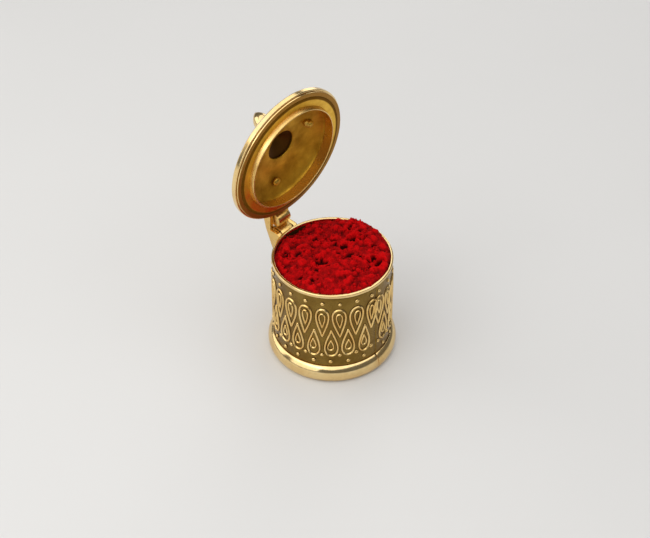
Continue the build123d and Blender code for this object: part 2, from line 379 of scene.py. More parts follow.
def arc(start: Place, via: Place, end: Place, steps: int) -> list[np.ndarray]:
    """Points on the circle arc through three points.

    Args:
        start: where it starts.
        via: a point that it passes.
        end: where it ends.
        steps: how many chords it has.

    Returns:
        The points, both ends among them.
    """
    a, b, c = (np.array(p, float) for p in (start, via, end))
    twice = 2 * (a[0] * (b[1] - c[1]) + b[0] * (c[1] - a[1]) + c[0] * (a[1] - b[1]))
    squares = [p @ p for p in (a, b, c)]
    centre = np.array(
        (
            squares[0] * (b[1] - c[1]) + squares[1] * (c[1] - a[1]) + squares[2] * (a[1] - b[1]),
            squares[0] * (c[0] - b[0]) + squares[1] * (a[0] - c[0]) + squares[2] * (b[0] - a[0]),
        )
    )
    centre = centre / twice
    first, middle, last = (math.atan2(p[1] - centre[1], p[0] - centre[0]) for p in (a, b, c))
    turn = 1 if (middle - first) % math.tau < (last - first) % math.tau else -1
    sweep = ((last - first) * turn) % math.tau * turn
    radius = np.linalg.norm(a - centre)
    angles = [first + sweep * step / steps for step in range(steps + 1)]
    return [centre + radius * np.array((math.cos(t), math.sin(t))) for t in angles]


def rounded(corners: Sequence[Corner], closed: bool = True) -> list[np.ndarray]:
    """Round the corners of an outline.

    Args:
        corners: each corner's radius from the axis, height and rounding.
        closed: whether the last corner joins the first.

    Returns:
        The outline's points, with holding points beside each arc.
    """
    points: list[np.ndarray] = []
    for index, (radius, height, bend) in enumerate(corners):
        here = np.array((radius, height))
        at_end = not closed and index in (0, len(corners) - 1)
        if bend <= 0 or at_end:
            points.append(here)
            continue
        before = np.array(corners[index - 1][:2]) - here
        after = np.array(corners[(index + 1) % len(corners)][:2]) - here
        before = before / np.linalg.norm(before)
        after = after / np.linalg.norm(after)
        half = math.acos(float(np.clip(before @ after, -1, 1))) / 2
        reach = bend / math.tan(half)
        inward = (before + after) / np.linalg.norm(before + after)
        middle = here + inward * (bend / math.sin(half) - bend)
        hold = HOLD_SHARE * bend
        points.append(here + before * (reach + hold))
        points.extend(arc(here + before * reach, middle, here + after * reach, ARC_STEPS))
        points.append(here + after * (reach + hold))
    return points


def ring_noise(angles: np.ndarray, cells: int, seed: int) -> np.ndarray:
    """Smooth random values round a circle.

    Args:
        angles: where to read them, in radians.
        cells: how many swells go round.
        seed: which set of values.

    Returns:
        Values from -1 to 1.
    """
    values = np.random.default_rng(seed).uniform(-1, 1, cells)
    place = (angles / math.tau * cells) % cells
    low = np.floor(place).astype(int) % cells
    part = place - np.floor(place)
    ease = part * part * (3 - 2 * part)
    return values[low] * (1 - ease) + values[(low + 1) % cells] * ease


def field_noise(x: np.ndarray, y: np.ndarray, size: float, seed: int) -> np.ndarray:
    """Smooth random values over a plane.

    Args:
        x: places along the first axis.
        y: places along the second axis.
        size: how large a swell is.
        seed: which set of values.

    Returns:
        Values from -1 to 1.
    """
    u, v = x / size, y / size
    left, down = math.floor(u.min()), math.floor(v.min())
    across = math.ceil(u.max()) - left + 2
    up = math.ceil(v.max()) - down + 2
    values = np.random.default_rng(seed).uniform(-1, 1, (across, up))
    i, j = np.floor(u).astype(int) - left, np.floor(v).astype(int) - down
    s, t = u - np.floor(u), v - np.floor(v)
    s, t = s * s * (3 - 2 * s), t * t * (3 - 2 * t)
    low = values[i, j] * (1 - s) + values[i + 1, j] * s
    high = values[i, j + 1] * (1 - s) + values[i + 1, j + 1] * s
    return low * (1 - t) + high * t


def stand(name: str, data: bpy.types.ID) -> bpy.types.Object:
    """Put an object into the scene.

    Args:
        name: the object's name.
        data: its mesh, lamp or camera.

    Returns:
        The object.
    """
    made = bpy.data.objects.new(name, data)
    bpy.context.scene.collection.objects.link(made)
    return made


@dataclass
class Blank:
    """Points and faces of one piece while it is formed, in millimetres."""

    points: list[np.ndarray] = field(default_factory=list)
    faces: list[list[int]] = field(default_factory=list)
    marks: list[np.ndarray] = field(default_factory=list)
    count: int = 0

    def add(self, points: np.ndarray, marks: Union[np.ndarray, float] = 1.0) -> np.ndarray:
        """Add points.

        Args:
            points: places, in an array whose last axis is x, y and z.
            marks: the value stored at each of them.

        Returns:
            Their numbers, in an array of the same form.
        """
        form = points.shape[:-1]
        number = int(np.prod(form))
        self.points.append(points.reshape(-1, 3))
        self.marks.append(np.broadcast_to(marks, form).reshape(-1))
        numbers = np.arange(self.count, self.count + number).reshape(form)
        self.count += number
        return numbers

    def net(self, numbers: np.ndarray, wrap_rows: bool, wrap_columns: bool) -> None:
        """Join a rectangular net of points with four-sided faces.

        Args:
            numbers: the points' numbers, by row and column.
            wrap_rows: whether the last row joins the first.
            wrap_columns: whether the last column joins the first.
        """
        if wrap_rows:
            numbers = np.vstack([numbers, numbers[:1]])
        if wrap_columns:
            numbers = np.hstack([numbers, numbers[:, :1]])
        quads = np.stack([numbers[:-1, :-1], numbers[1:, :-1], numbers[1:, 1:], numbers[:-1, 1:]], -1)
        self.faces.extend(quads.reshape(-1, 4).tolist())

    def cap(self, ring: np.ndarray) -> None:
        """Close a ring of points with one flat face."""
        self.faces.append(ring.tolist())

    def peak(self, ring: np.ndarray, top: int) -> None:
        """Close a ring of points with triangles that meet at one point."""
        after = np.roll(ring, -1)
        self.faces.extend([[int(a), int(b), top] for a, b in zip(ring, after)])

    def turn(
        self,
        profile: Sequence[np.ndarray],
        steps: int,
        wobble: Union[Wobble, None] = None,
        mark: Union[Wobble, None] = None,
    ) -> None:
        """Turn a profile round the Z axis.

        Args:
            profile: points of radius and height. It closes on itself unless its ends are on the axis.
            steps: how many faces go round.
            wobble: how far a point is pushed out, from its angle, radius and height.
            mark: the value stored at a point, from the same three.
        """
        line = np.array(profile, float)
        on_axis = line[0, 0] == 0 and line[-1, 0] == 0
        body = line[1:-1] if on_axis else line
        angles = np.linspace(0, math.tau, steps, endpoint=False)[:, None]
        radius = np.broadcast_to(body[:, 0], (steps, len(body)))
        height = np.broadcast_to(body[:, 1], (steps, len(body)))
        stored = 1.0 if mark is None else mark(angles, radius, height)
        if wobble is not None:
            radius = radius + wobble(angles, radius, height)
        points = np.stack([radius * np.cos(angles), radius * np.sin(angles), height], -1)
        numbers = self.add(points, stored)
        self.net(numbers, True, not on_axis)
        if on_axis:
            tips = line[[0, -1]]
            stored = 1.0 if mark is None else mark(np.zeros(2), tips[:, 0], tips[:, 1])
            ends = self.add(np.insert(tips, 1, 0.0, axis=1), stored)
            self.peak(numbers[::-1, 0], int(ends[0]))
            self.peak(numbers[:, -1], int(ends[1]))

    def bend(self, profile: Sequence[np.ndarray], angles: np.ndarray, reach: np.ndarray) -> None:
        """Bend a solid bar round the Z axis, with an end to it on either side.

        Args:
            profile: the bar's outline, as radius and height.
            angles: where its sections are.
            reach: how large each section is, about the outline's middle.
        """
        line = np.array(profile, float)
        middle = (line.min(0) + line.max(0)) / 2
        sections = middle + (line - middle) * reach[:, None, None]
        radius, height = sections[..., 0], sections[..., 1]
        turn = angles[:, None]
        numbers = self.add(np.stack([radius * np.cos(turn), radius * np.sin(turn), height], -1))
        self.net(numbers, False, True)
        self.cap(numbers[0, ::-1])
        self.cap(numbers[-1])

    def piece(self, name: str, material: bpy.types.Material, place: Matrix) -> bpy.types.Object:
        """Make the object.

        Args:
            name: the object's name.
            material: its finish.
            place: where it goes, in metres.

        Returns:
            The object, smooth and with its faces turned outwards.
        """
        turn = np.array(place)
        placed = np.vstack(self.points) * MM @ turn[:3, :3].T + turn[:3, 3]
        mesh = bpy.data.meshes.new(name)
        mesh.from_pydata(placed.tolist(), [], self.faces)
        form = bmesh.new()
        form.from_mesh(mesh)
        bmesh.ops.recalc_face_normals(form, faces=form.faces)
        form.to_mesh(mesh)
        form.free()
        crest = np.concatenate(self.marks).astype(np.float32)
        # The dark mark is the crest mark's opposite: where it is high, the gilt finishes paint shade.
        for key, values in ((CREST, crest), (DARK, 1 - crest)):
            mesh.attributes.new(key, "FLOAT", "POINT").data.foreach_set("value", values)
        mesh.materials.append(material)
        mesh.shade_smooth()
        mesh.update()
        return stand(name, mesh)


class Plan:
    """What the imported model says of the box: boxes of its nodes, the hinge and the lid's place."""

    def __init__(self, packed: dict[str, Any]) -> None:
        """Read the hinge.
        """
        self.nodes = packed["nodes"]
        hinge = packed["joints"][0]
        centre = Matrix.Translation(Vector(hinge["pos_m"]))
        opening = math.radians(-hinge["range_deg"][0])
        self.opened = centre @ Matrix.Rotation(opening, 4, Vector(hinge["axis"])) @ centre.inverted()

    def low_high(self, node: str) -> tuple[np.ndarray, np.ndarray]:
        """A node's lowest and highest corner at rest, in millimetres."""
        low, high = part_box(node)
        return np.array(low) / MM, np.array(high) / MM

    def closed(self, node: str) -> tuple[np.ndarray, np.ndarray]:
        """Measure a lid node with the lid closed.

        Args:
            node: the CAD node.

        Returns:
            Its lowest and highest corner, in millimetres.
        """
        back = self.opened.inverted()
        points = np.array([back @ vertex.co for vertex in self.nodes[node].data.vertices]) / MM
        return points.min(0), points.max(0)


def settle(piece: bpy.types.Object, body: Body, slot: Slot, *nodes: str) -> None:
    """Let a piece ride on its body and stand for its nodes.

    Args:
        piece: the finished piece.
        body: what it moves with.
        slot: the record's material slot; not used.
        nodes: the CAD nodes that it stands for.
    """
    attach(piece, body.value)
    if nodes:
        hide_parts(*nodes)
    LOG.info("%s: %d faces on the %s", piece.name, len(piece.data.polygons), body.value)


@dataclass
class Ornament:
    """The embossed rows of teardrops and dots on the wall."""

    wall_radius: float
    columns: int = 22
    first_column: float = -86.5
    last_column: float = 264.0
    upper_round: float = 23.3
    upper_tip: float = 14.3
    upper_half_width: float = 1.62
    lower_round: float = 8.2
    lower_tip: float = 16.6
    lower_half_width: float = 1.55
    heart_upper_round: float = 21.9
    heart_upper_tip: float = 17.4
    heart_lower_round: float = 10.2
    heart_lower_tip: float = 13.4
    heart_half_width: float = 0.68
    ridge_half_width: float = 0.4
    ridge_height: float = 0.42
    heart_ridge_half_width: float = 0.32
    heart_ridge_height: float = 0.36
    ridge_root: float = 0.2
    dot_radius: float = 0.55
    dot_height: float = 0.42
    dot_rows: tuple[float, float, float] = (25.1, 8.4, 6.2)
    point_sharpness: float = 1.5
    tip_gap: float = 0.1
    tip_taper: float = 0.5
    tip_height_share: float = 0.35
    tip_width_share: float = 0.6
    foot_share: float = 0.9
    ridge_points: int = 9
    drop_steps: int = 64
    heart_steps: int = 44
    dot_steps: int = 16
    dot_rings: int = 6
    dot_crown_share: float = 0.9
    dot_root_share: float = 0.95
    width_spread: Span = (0.92, 1.06)
    height_spread: Span = (0.85, 1.1)
    dot_spread: Span = (0.85, 1.12)
    slant: float = 0.05
    drop_jitter: float = 0.12
    dot_jitter: float = 0.1
    seed: int = 7

    def form(self) -> Blank:
        """Lay out all the ridges and dots.

        Returns:
            The relief, each ridge closed and rooted in the wall.
        """
        blank = Blank()
        chance = np.random.default_rng(self.seed)
        pitch = (self.last_column - self.first_column) / (self.columns - 1)
        for column in range(self.columns):
            upper = self.first_column + column * pitch
            lower = upper + pitch / 2
            self._drop(blank, chance, upper, self.upper_round, self.upper_tip, False)
            self._drop(blank, chance, upper, self.heart_upper_round, self.heart_upper_tip, True)
            self._dot(blank, chance, upper, self.dot_rows[0])
            self._dot(blank, chance, upper, self.dot_rows[1])
            if column + 1 < self.columns:
                self._drop(blank, chance, lower, self.lower_round, self.lower_tip, False)
                self._drop(blank, chance, lower, self.heart_lower_round, self.heart_lower_tip, True)
                self._dot(blank, chance, lower, self.dot_rows[2])
        return blank

    def _wrap(self, across: np.ndarray, height: np.ndarray, rise: np.ndarray, angle: float) -> np.ndarray:
        """Lay flat places on the wall.

        Args:
            across: places along the wall.
            height: places up the wall.
            rise: how far each stands out.
            angle: where across is 0, in degrees.

        Returns:
            Points in space.
        """
        turn = math.radians(angle) + across / self.wall_radius
        radius = self.wall_radius + rise
        return np.stack([radius * np.cos(turn), radius * np.sin(turn), height], -1)

    def _drop(
        self,
        blank: Blank,
        chance: Chance,
        angle: float,
        round_end: float,
        tip: float,
        heart: bool,
    ) -> None:
        """Add one teardrop ridge.

        Args:
            blank: what it is added to.
            chance: the source of its small irregularities.
            angle: its middle line, in degrees.
            round_end: the height of its round end.
            tip: the height of its point.
            heart: whether it is the small drop inside a large one.
        """
        wide = self.upper_half_width if tip < round_end else self.lower_half_width
        half_width = self.heart_half_width if heart else wide
        half_width = half_width * chance.uniform(*self.width_spread)
        slant = chance.uniform(-self.slant, self.slant)
        shift = chance.uniform(-self.drop_jitter, self.drop_jitter)
        lift = chance.uniform(-self.drop_jitter, self.drop_jitter)
        ridge = self.heart_ridge_half_width if heart else self.ridge_half_width
        rise = self.heart_ridge_height if heart else self.ridge_height
        rise = rise * chance.uniform(*self.height_spread)
        steps = self.heart_steps if heart else self.drop_steps
        t = np.linspace(self.tip_gap, math.tau - self.tip_gap, steps)
        shape = np.sin(t) * np.sin(t / 2) ** self.point_sharpness
        middle = (round_end + tip) / 2
        height = middle + (tip - round_end) / 2 * np.cos(t) + lift
        across = half_width * shape / shape.max() + slant * (height - middle) + shift
        way = np.stack([np.gradient(across), np.gradient(height)], -1)
        way = way / np.linalg.norm(way, axis=1, keepdims=True)
        taper = np.clip(np.minimum(t - t[0], t[-1] - t) / self.tip_taper, 0, 1)
        taper = (self.tip_height_share + (1 - self.tip_height_share) * taper * (2 - taper))[:, None]
        place = np.linspace(-1, 1, self.ridge_points)
        swell = 0.5 + 0.5 * np.cos(math.pi * place)
        foot = np.array((self.foot_share, -self.foot_share))
        narrowing = self.tip_width_share + (1 - self.tip_width_share) * taper
        sideways = np.concatenate([place, foot])[None, :] * ridge * narrowing
        tall = np.concatenate([swell * rise, [-self.ridge_root, -self.ridge_root]])[None, :]
        tall = np.where(tall > 0, tall * taper, tall)
        # Painted shade: the mark falls from 1 on the crest to 0 at the ridge's edges and foot, so the
        # finish darkens its flanks.
        marks = np.broadcast_to(np.concatenate([swell, [0, 0]]), (steps, self.ridge_points + 2))
        flat_across = across[:, None] - way[:, 1:2] * sideways
        flat_height = height[:, None] + way[:, 0:1] * sideways
        numbers = blank.add(self._wrap(flat_across, flat_height, tall, angle), marks)
        blank.net(numbers, False, True)
        blank.cap(numbers[0, ::-1])
        blank.cap(numbers[-1])

    def _dot(self, blank: Blank, chance: Chance, angle: float, height: float) -> None:
        """Add one raised dot.

        Args:
            blank: what it is added to.
            chance: the source of its small irregularities.
            angle: its place round the wall, in degrees.
            height: its place up the wall.
        """
        radius = self.dot_radius * chance.uniform(*self.dot_spread)
        shift = chance.uniform(-self.dot_jitter, self.dot_jitter)
        height = height + chance.uniform(-self.dot_jitter, self.dot_jitter)
        turn = np.linspace(0, math.tau, self.dot_steps, endpoint=False)[None, :]
        slope = np.linspace(0, self.dot_crown_share, self.dot_rings) * math.pi / 2
        out = np.concatenate([[self.dot_root_share], np.cos(slope)])[:, None] * radius
        rise = np.concatenate([[-self.ridge_root], np.sin(slope) * self.dot_height])[:, None]
        # Painted shade: each dot is marked dark at its foot and clean on its crown.
        marks = np.concatenate([[0], np.sin(slope)])[:, None] + 0 * turn
        places = (shift + out * np.cos(turn), height + out * np.sin(turn), rise + 0 * turn)
        numbers = blank.add(self._wrap(*places, angle), marks)
        blank.net(numbers, False, True)
        top = blank.add(self._wrap(*np.array(((shift,), (height,), (self.dot_height,))), angle))
        blank.cap(numbers[0])
        blank.peak(numbers[-1], int(top[0]))


@dataclass
class BoxBody:
    """The wall with its ornament, the rim and the bead round the foot."""

    plan: Plan
    finishes: Finishes
    wall_thickness: float = 0.5
    seam_angle: float = -90.0
    seam_width: float = 0.3
    seam_depth: float = 0.16
    seam_step: float = 0.05
    rim_rounding: float = 0.3
    rim_inner_rounding: float = 0.24
    rim_lower_rounding: float = 0.15
    rim_edge: float = 0.05
    bead_gap: float = 0.02
    bead_foot_inset: float = 0.8
    bead_belly_height: float = 2.1
    bead_end_gap: float = 0.5
    bead_end_rounding: float = 0.6
    bead_end_share: float = 0.86
    bead_end_sections: tuple[float, ...] = (0.0, 0.25, 0.6, 1.0, 1.7)
    bead_back_edge: float = 0.05
    wall_steps: int = 720
    wall_rows: int = 40
    inner_row_step: int = 6
    rim_steps: int = 540
    bead_steps: int = 480
    bead_points: int = 22
    dent_depth: float = 0.03
    dent_waves: int = 3
    dent_slant: float = 0.2
    fine_dent_depth: float = 0.02
    fine_dent_waves: int = 7
    fine_dent_slant: float = 0.35
    wall_slack: float = 0.05
    seam_ease: float = 0.3
    relief_sink: float = 0.03
    filing_depth: float = 0.02
    filing_waves: int = 40

    def build(self) -> None:
        """Make every piece of the body."""
        self.wall()
        self.ornament()
        self.rim()
        self.bead()
        base = self.plan.nodes["base_plate"]
        base.data.materials.clear()
        base.data.materials.append(self.finishes.field)

    def wall(self) -> None:
        """The rolled strip, a little uneven, with a stepped seam and painted shade on its inside."""
        low, high = self.plan.low_high("body_wall")
        outer, inner = float(high[0]), float(high[0]) - self.wall_thickness
        heights = np.linspace(low[2], high[2], self.wall_rows)
        outside = [np.array((outer, height)) for height in heights]
        inside = [np.array((inner, height)) for height in heights[:: -self.inner_row_step]]

        def uneven(angle: np.ndarray, radius: np.ndarray, height: np.ndarray) -> np.ndarray:
            """Shallow dents, and the step and groove of the seam.

            Args:
                angle: where a point lies round the wall.
                radius: its distance from the axis.
                height: its height.

            Returns:
                How far it is pushed out.
            """
            away = (angle - math.radians(self.seam_angle) + math.pi) % math.tau - math.pi
            groove = np.clip(1 - np.abs(away) * outer / self.seam_width, 0, 1) * self.seam_depth
            step = np.where(away > 0, np.clip(1 - away / self.seam_ease, 0, 1), 0) * self.seam_step
            broad = np.sin(self.dent_waves * angle + self.dent_slant * height)
            fine = np.sin(self.fine_dent_waves * angle - self.fine_dent_slant * height)
            dents = self.dent_depth * broad + self.fine_dent_depth * fine
            outside_only = radius > (outer + inner) / 2
            return np.where(outside_only, dents - self.wall_slack + step - groove, 0)

        def shaded(angle: np.ndarray, radius: np.ndarray, height: np.ndarray) -> np.ndarray:
            """Painted shade: dark on the inside of the wall."""
            return np.where(radius > (outer + inner) / 2, 1.0, 0.0)

        blank = Blank()
        blank.turn(outside + inside, self.wall_steps, uneven, shaded)
        piece = blank.piece("rolled_wall", self.finishes.field, Matrix())
        settle(piece, Body.BOX, Slot.GILT, "body_wall")

    def ornament(self) -> None:
        """The embossed relief."""
        radius = float(self.plan.low_high("body_wall")[1][0]) - self.relief_sink
        piece = Ornament(radius).form().piece("wall_relief", self.finishes.relief, Matrix())
        settle(piece, Body.BOX, Slot.GILT)

    def rim(self) -> None:
        """The rounded ring on the wall's top edge."""
        low, high = self.plan.low_high("rim_ring")
        outer = float(high[0])
        inner = float(self.plan.low_high("body_wall")[1][0]) - self.wall_thickness
        corners = [
            (inner, low[2], self.rim_edge),
            (outer, low[2], self.rim_lower_rounding),
            (outer, high[2], self.rim_rounding),
            (inner, high[2], self.rim_inner_rounding),
        ]

        def uneven(angle: np.ndarray, radius: np.ndarray, height: np.ndarray) -> np.ndarray:
            """Slight waves of hand filing."""
            return self.filing_depth * (ring_noise(angle, self.filing_waves, seed=3) - 1) + 0 * radius

        blank = Blank()
        blank.turn(rounded(corners), self.rim_steps, uneven)
        piece = blank.piece("rounded_rim", self.finishes.bright, Matrix())
        settle(piece, Body.BOX, Slot.GILT, "rim_ring")

    def bead(self) -> None:
        """The half-round bar bent round the foot, its ends meeting at the seam."""
        high = self.plan.low_high("base_bead")[1]
        outer = float(high[0])
        inner = float(self.plan.low_high("body_wall")[1][0]) + self.bead_gap
        foot = outer - self.bead_foot_inset
        belly = (outer, self.bead_belly_height)
        top = float(high[2])
        edge = self.bead_back_edge
        back = [np.array((inner, height)) for height in (top - edge, top / 2, edge)]
        outline = arc((foot, 0), belly, (inner, top), self.bead_points)[:-1] + back
        start = self.seam_angle + self.bead_end_gap / 2
        angles = np.radians(np.linspace(start, start + 360 - self.bead_end_gap, self.bead_steps))
        nose = math.radians(self.bead_end_rounding) * np.array(self.bead_end_sections)
        angles = np.concatenate([angles[0] + nose[:-1], angles[2:-2], angles[-1] - nose[-2::-1]])
        along = np.clip(np.minimum(angles - angles[0], angles[-1] - angles) / nose[-1], 0, 1)
        roundness = np.sqrt(np.clip(1 - (1 - along) ** 2, 0, 1))
        reach = self.bead_end_share + (1 - self.bead_end_share) * roundness
        blank = Blank()
        blank.bend(outline, angles, reach)
        piece = blank.piece("foot_bead", self.finishes.bright, Matrix())
        settle(piece, Body.BOX, Slot.GILT, "base_bead")


@dataclass
class Lid:
    """The lid: plug ring, seat ring, moulded edge, dome and solder drops."""

    plan: Plan
    finishes: Finishes
    edge_lift: float = 0.15
    edge_top_width: float = 0.4
    edge_wall_height: float = 1.85
    edge_rounding: float = 0.3
    edge_lower_rounding: float = 0.24
    edge_top_rounding: float = 0.15
    edge_foot_rounding: float = 0.08
    lower_band_inset: float = 0.45
    lower_band_rounding: float = 0.2
    groove_height: float = 0.6
    groove_depth: float = 0.65
    groove_width: float = 0.1
    groove_lip_rounding: float = 0.06
    groove_floor_rounding: float = 0.02
    fill_reach: float = 0.2
    fill_patches: int = 64
    fill_strength: float = 1.4
    fill_swings: int = 17
    fill_swing: float = 0.7
    fill_start: float = 0.15
    filing_waves: int = 60
    filing_depth: float = 0.02
    filing_fade: float = 0.4
    seat_rounding: float = 0.3
    plug_thickness: float = 0.55
    plug_taper: float = 0.3
    plug_rounding: float = 0.1
    lip_waves: int = 22
    lip_wave: float = 0.05
    lip_slack: float = 0.04
    lip_start: float = 0.3
    lip_fade: float = 1.4
    unshaded_radius: float = 15.3
    dark_radius: float = 15.8
    shade_start: float = 0.05
    shade_rise: float = 0.12
    groove_reach: float = 0.1
    groove_margin: float = 0.05
    cove: float = 0.4
    cove_fullness: float = 0.3
    cove_rise: float = 0.2
    cove_join: float = 0.1
    cove_points: int = 8
    crown_radius: float = 6.2
    dome_fullness: float = 0.75
    dome_thickness: float = 0.5
    hole_radius: float = 4.0
    hole_offset: float = 0.9
    hole_heading: float = -40.0
    hole_flat: float = 0.25
    hole_bevel: float = 0.06
    hole_bevel_height: float = 0.05
    hole_wall_start: float = 0.2
    hole_top_bevel: float = 0.1
    hole_waves: int = 9
    hole_wave: float = 0.12
    hole_wave_reach: float = 0.5
    hole_shade_margin: float = 0.05
    flange_start: float = 0.4
    top_tilt: float = 0.2
    dome_gap: float = 0.01
    solder_gap: float = 0.02
    tack_inset: float = 3.7
    tack_start: float = 98.0
    tack_count: int = 3
    tack_radius: float = 0.9
    tack_lumps: int = 5
    tack_sink: float = 0.3
    tack_spread_low: Corner = (-0.9, -0.9, -0.2)
    tack_spread_high: Corner = (0.9, 0.9, 0.1)
    tack_size_spread: Span = (0.7, 1.2)
    tack_seed: int = 21
    ring_steps: int = 480
    edge_steps: int = 720
    dome_points: int = 24
    trim: float = 0.03
    place: Matrix = field(init=False)
    seat_radius: float = field(init=False)
    seat_thickness: float = field(init=False)
    plug_radius: float = field(init=False)
    plug_depth: float = field(init=False)
    recess_radius: float = field(init=False)
    edge_radius: float = field(init=False)
    edge_thickness: float = field(init=False)
    crown_top: float = field(init=False)

    def __post_init__(self) -> None:
        """Work out the lid's place and sizes from its CAD nodes."""
        low, high = self.plan.closed("lid_seat_ring")
        self.place = self.plan.opened @ Matrix.Translation((0, 0, float(low[2]) * MM))
        self.seat_radius = float(high[0])
        self.seat_thickness = float(high[2] - low[2])
        plug_low, plug_high = self.plan.closed("lid_plug_ring")
        self.plug_radius = float(plug_high[0])
        self.plug_depth = float(low[2] - plug_low[2])
        self.recess_radius = self.plug_radius - self.plug_thickness
        edge_high = self.plan.closed("lid_edge_ring")[1]
        self.edge_radius = float(edge_high[0])
        self.edge_thickness = float(edge_high[2] - low[2])
        self.crown_top = float(self.plan.closed("lid_dome")[1][2] - low[2])

    def build(self) -> None:
        """Make every piece of the lid."""
        self.plug()
        self.seat()
        self.edge()
        self.dome()
        self.tacks()

    def plug(self) -> None:
        """The short tube that enters the mouth of the box."""
        inner, outer, top, lip = self.recess_radius, self.plug_radius, self.seat_thickness, -self.plug_depth
        soft = self.plug_rounding
        corners = [
            (inner, lip, soft),
            (outer - self.plug_taper, lip, soft),
            (outer, 0, 0),
            (outer, top, self.trim),
            (inner, top, self.trim),
        ]

        def uneven(angle: np.ndarray, radius: np.ndarray, height: np.ndarray) -> np.ndarray:
            """Slight waves of the hammered strip, deeper at the lip."""
            near_lip = np.clip((self.lip_start - height) / self.lip_fade, 0, 1)
            return (self.lip_wave * ring_noise(angle, self.lip_waves, seed=11) - self.lip_slack) * near_lip

        blank = Blank()
        blank.turn(rounded(corners), self.ring_steps, uneven)
        piece = blank.piece("plug_ring", self.finishes.lip, self.place)
        settle(piece, Body.LID, Slot.GILT, "lid_plug_ring")

    def seat(self) -> None:
        """The flat ring that closes on the rim."""
        inner, outer, top = self.plug_radius + self.solder_gap, self.seat_radius, self.seat_thickness
        corners = [
            (inner, 0, self.trim),
            (self.unshaded_radius, 0, 0),
            (self.dark_radius, 0, 0),
            (outer, 0, self.seat_rounding),
            (outer, top, self.trim),
            (inner, top, self.trim),
        ]
        blank = Blank()
        # Painted shade in the seat's outer corner, from the corner-shade mark.
        blank.turn(rounded(corners), self.ring_steps, mark=self._painted_corner_shade)
        piece = blank.piece("seat_ring", self.finishes.seat, self.place)
        settle(piece, Body.LID, Slot.GILT, "lid_seat_ring")

    def edge(self) -> None:
        """A narrow band, a half-filled groove and a wide band with a bevel."""
        inner, outer, top = self.seat_radius + self.solder_gap, self.edge_radius, self.edge_thickness
        band, floor = outer - self.lower_band_inset, outer - self.groove_depth
        low, high = self.groove_height, self.groove_height + self.groove_width
        corners = [
            (inner, self.edge_lift, self.edge_foot_rounding),
            (band, self.edge_lift, self.lower_band_rounding),
            (band, low, self.groove_lip_rounding),
            (floor, low, self.groove_floor_rounding),
            (floor, high, self.groove_floor_rounding),
            (outer, high, self.edge_lower_rounding),
            (outer, self.edge_wall_height, self.edge_rounding),
            (inner + self.edge_top_width, top, self.edge_top_rounding),
            (inner, top, self.trim),
        ]

        def filled(angle: np.ndarray, radius: np.ndarray, height: np.ndarray) -> np.ndarray:
            """Solder that fills the groove here and there, and filing marks on the bands.

            Args:
                angle: where a point lies round the lid.
                radius: its distance from the lid's axis.
                height: its height over the seat.

            Returns:
                How far it is pushed out.
            """
            level = np.abs(height - (low + high) / 2) < self.fill_reach
            in_groove = np.clip((band - radius) / (band - floor), 0, 1) * level
            fill = self.fill_strength * ring_noise(angle, self.fill_patches, seed=5)
            fill = fill + self.fill_swing * ring_noise(angle, self.fill_swings, seed=6) + self.fill_start
            fill = np.clip(fill, 0, 1)
            waves = self.filing_depth * ring_noise(angle, self.filing_waves, seed=8)
            waves = waves * np.clip((radius - floor) / self.filing_fade, 0, 1)
            return waves - self.filing_depth + (band - floor) * fill * in_groove

        blank = Blank()
        # Painted shade in the corner and the groove, from the corner-shade mark.
        blank.turn(rounded(corners), self.edge_steps, filled, self._painted_corner_shade)
        piece = blank.piece("moulded_edge", self.finishes.moulding, self.place)
        settle(piece, Body.LID, Slot.GILT, "lid_edge_ring")

    def _painted_corner_shade(self, angle: np.ndarray, radius: np.ndarray, height: np.ndarray) -> np.ndarray:
        """Painted shade: dark in the corner between the seat and the moulded edge, and in the edge's
        groove.

        Args:
            angle: where a point lies round the lid; not used.
            radius: its distance from the lid's axis.
            height: its height over the seat.

        Returns:
            1 where the metal is unshaded and 0 where shade is painted.
        """
        band, floor = self.edge_radius - self.lower_band_inset, self.edge_radius - self.groove_depth
        corner = (radius > self.unshaded_radius + self.shade_start) & (radius < band)
        corner = corner & (height < self.edge_lift + self.shade_rise)
        level = np.abs(height - self.groove_height) < self.groove_width + self.groove_margin
        groove = (radius < floor + self.groove_reach) & level
        groove = groove & (radius > self.seat_radius + self.solder_gap + self.groove_reach)
        return np.where(corner | groove, 0.0, 1.0)

    def dome(self) -> None:
        """The raised sheet with the hole under the knob."""
        rim, crown, hole = self.recess_radius, self.crown_radius, self.hole_radius
        seat, sheet = self.seat_thickness, self.dome_thickness
        top, under = self.crown_top, self.crown_top - sheet
        lower = self._underside()
        upper = [point + np.array((0, sheet)) for point in lower[::-1]]
        cove, fullness = self.cove, self.cove_fullness * self.cove
        border = rim - self.dome_gap
        bend = (rim - fullness, seat - fullness)
        corner = arc((border, seat - cove), bend, (rim - cove, seat + self.cove_rise), self.cove_points)
        outline = [np.array((self.seat_radius, seat)), np.array((border, seat))] + corner
        outline += [point for point in lower if point[0] < rim - cove - self.cove_join]
        outline += [np.array((hole + self.hole_flat, under))]
        outline += [np.array((hole + self.hole_bevel, under + self.hole_bevel_height))]
        outline += [np.array((hole, under + self.hole_wall_start))]
        outline += [np.array((hole, top - self.hole_bevel_height))]
        outline += [np.array((hole + self.hole_top_bevel, top))] + upper
        outline += [np.array((rim + self.flange_start, seat + sheet))]
        outline += [np.array((self.seat_radius, seat + sheet))]

        def uneven(angle: np.ndarray, radius: np.ndarray, height: np.ndarray) -> np.ndarray:
            """A hole that isn't quite round."""
            near_hole = np.clip((hole + self.hole_wave_reach - radius) / self.hole_wave_reach, 0, 1)
            return self.hole_wave * near_hole * ring_noise(angle, self.hole_waves, seed=15)

